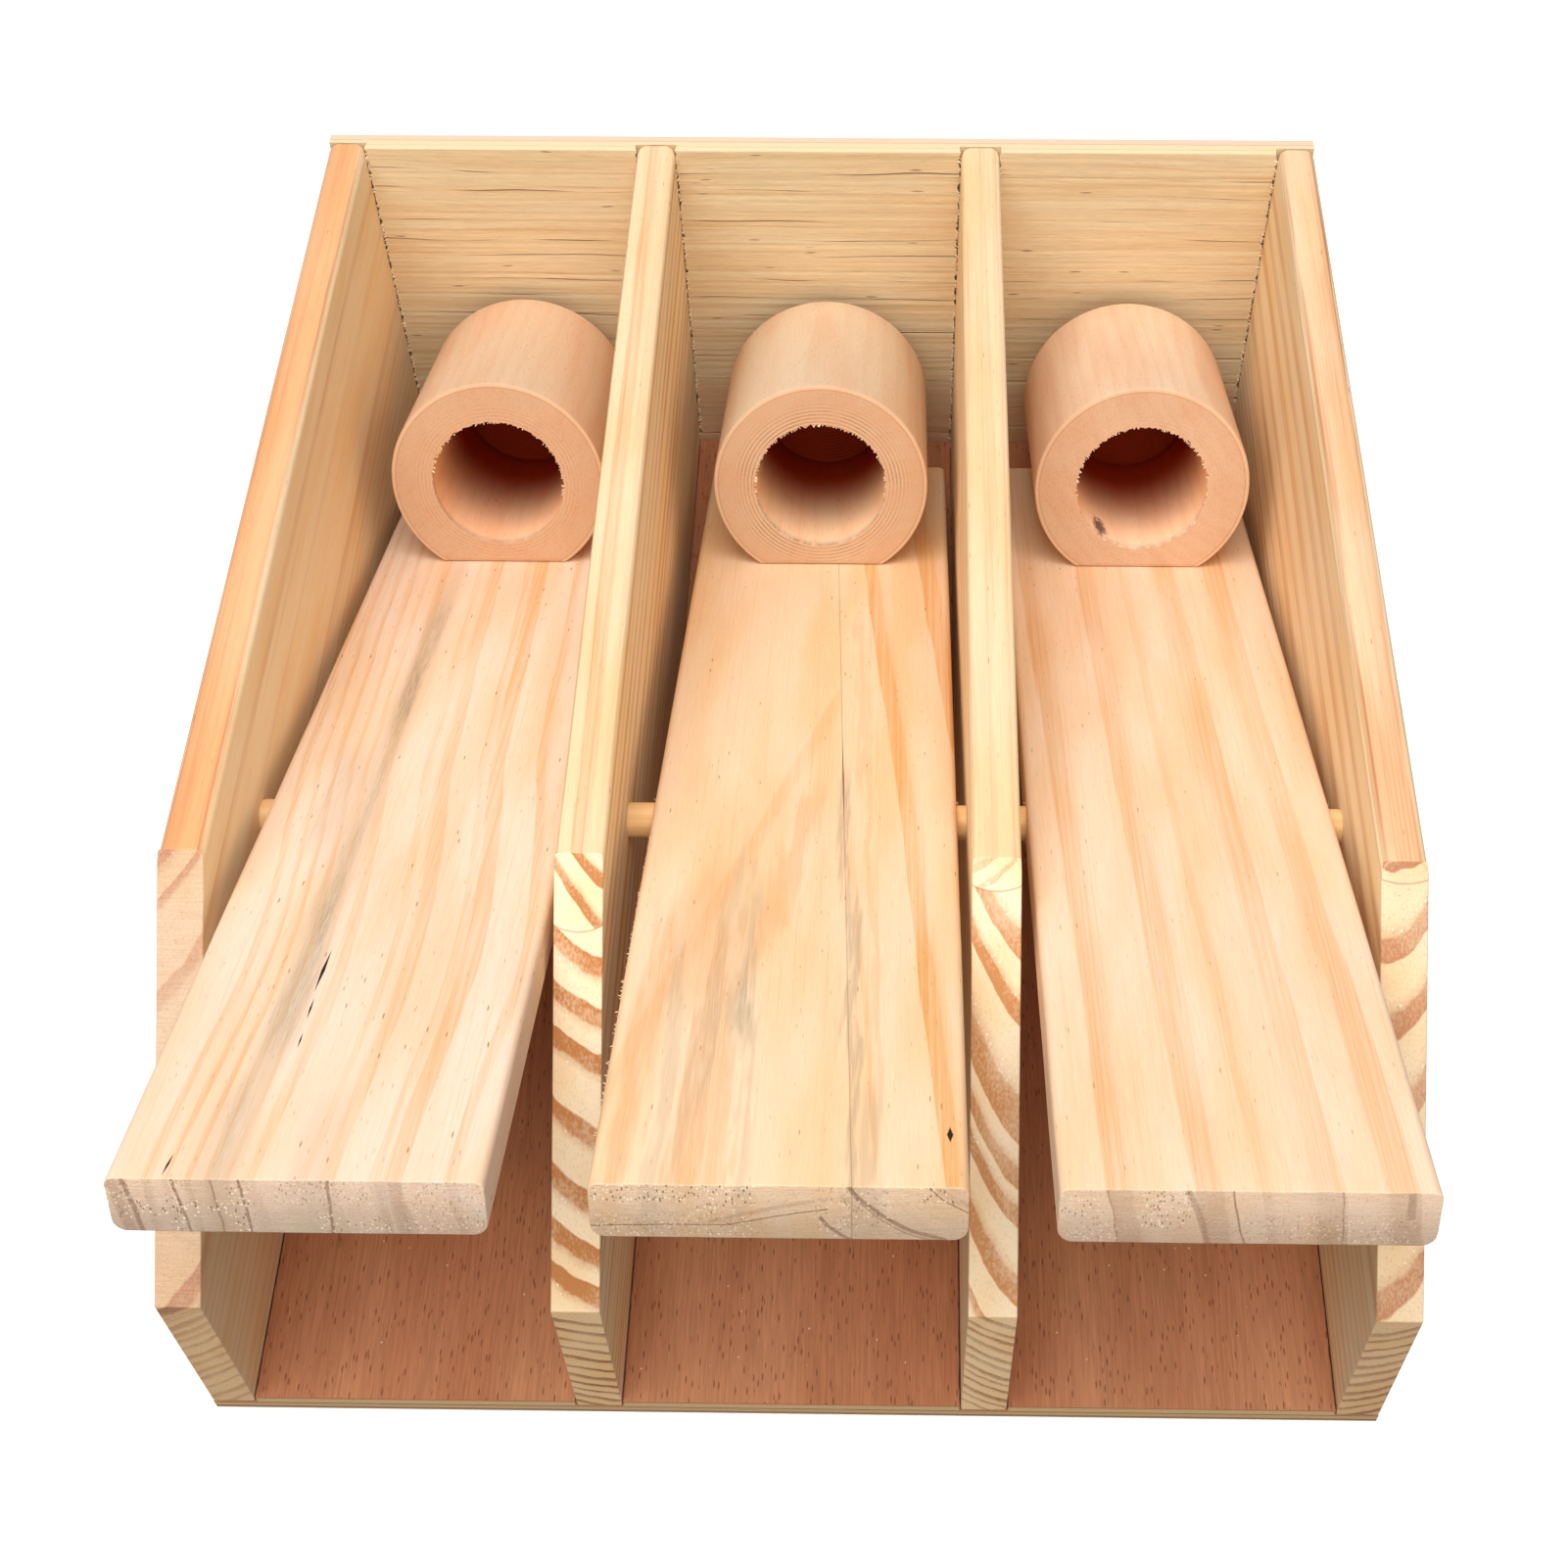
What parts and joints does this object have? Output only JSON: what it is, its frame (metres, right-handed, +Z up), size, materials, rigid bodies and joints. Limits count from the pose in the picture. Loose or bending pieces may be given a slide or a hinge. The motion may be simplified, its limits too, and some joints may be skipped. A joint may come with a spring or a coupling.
{
  "type": "see-saw treat puzzle for small pets",
  "caption": "Open wooden box with side-by-side lanes; a see-saw treadle in each lane tips a bored treat cup forward when its front end is pressed.",
  "frame": {"origin": "underside of the base panel, at the middle of the box's footprint (treadle overhang not counted)", "axes": "+Z up, -Y is the open front, +X to the right seen from the front"},
  "size_m": [0.2, 0.2441, 0.1035],
  "materials": {
    "pine": "planed and sanded pine, unfinished, satin to matt",
    "pine_treadle": "sanded pine, unfinished, with blue-grey stain streaks",
    "beech": "turned beech, unfinished, smooth matt",
    "red_plywood": "red-brown tropical veneer plywood, unfinished",
    "pale_plywood": "pale softwood veneer plywood, unfinished",
    "dowel_wood": "hardwood dowel, smooth, unfinished",
    "brad_steel": "plain steel brads"
  },
  "bodies": {
    "box": {"base_panel": "red_plywood", "back_panel": "pale_plywood", "left_side_wall": "pine", "left_divider": "pine", "right_divider": "pine", "right_side_wall": "pine", "pivot_dowel": "dowel_wood", "base_brad_1": "brad_steel", "base_brad_2": "brad_steel", "base_brad_3": "brad_steel", "base_brad_4": "brad_steel", "base_brad_5": "brad_steel", "base_brad_6": "brad_steel", "base_brad_7": "brad_steel", "base_brad_8": "brad_steel", "base_brad_9": "brad_steel", "base_brad_10": "brad_steel", "base_brad_11": "brad_steel", "base_brad_12": "brad_steel", "back_brad_1": "brad_steel", "back_brad_2": "brad_steel", "back_brad_3": "brad_steel", "back_brad_4": "brad_steel", "back_brad_5": "brad_steel", "back_brad_6": "brad_steel", "back_brad_7": "brad_steel", "back_brad_8": "brad_steel"},
    "left_seesaw": {"left_treadle": "pine_treadle", "left_treat_cup": "beech"},
    "middle_seesaw": {"middle_treadle": "pine_treadle", "middle_treat_cup": "beech"},
    "right_seesaw": {"right_treadle": "pine_treadle", "right_treat_cup": "beech"}
  },
  "joints": [
    {"name": "left_treadle_pivot", "type": "hinge", "parent": "box", "child": "left_seesaw", "pos_m": [-0.0644, -0.03535, 0.062], "axis": [1, 0, 0], "range_deg": [0, 55.2]},
    {"name": "middle_treadle_pivot", "type": "hinge", "parent": "box", "child": "middle_seesaw", "pos_m": [0.001, -0.03535, 0.062], "axis": [1, 0, 0], "range_deg": [0, 55.2]},
    {"name": "right_treadle_pivot", "type": "hinge", "parent": "box", "child": "right_seesaw", "pos_m": [0.0646, -0.03535, 0.062], "axis": [1, 0, 0], "range_deg": [0, 55.2]}
  ]
}
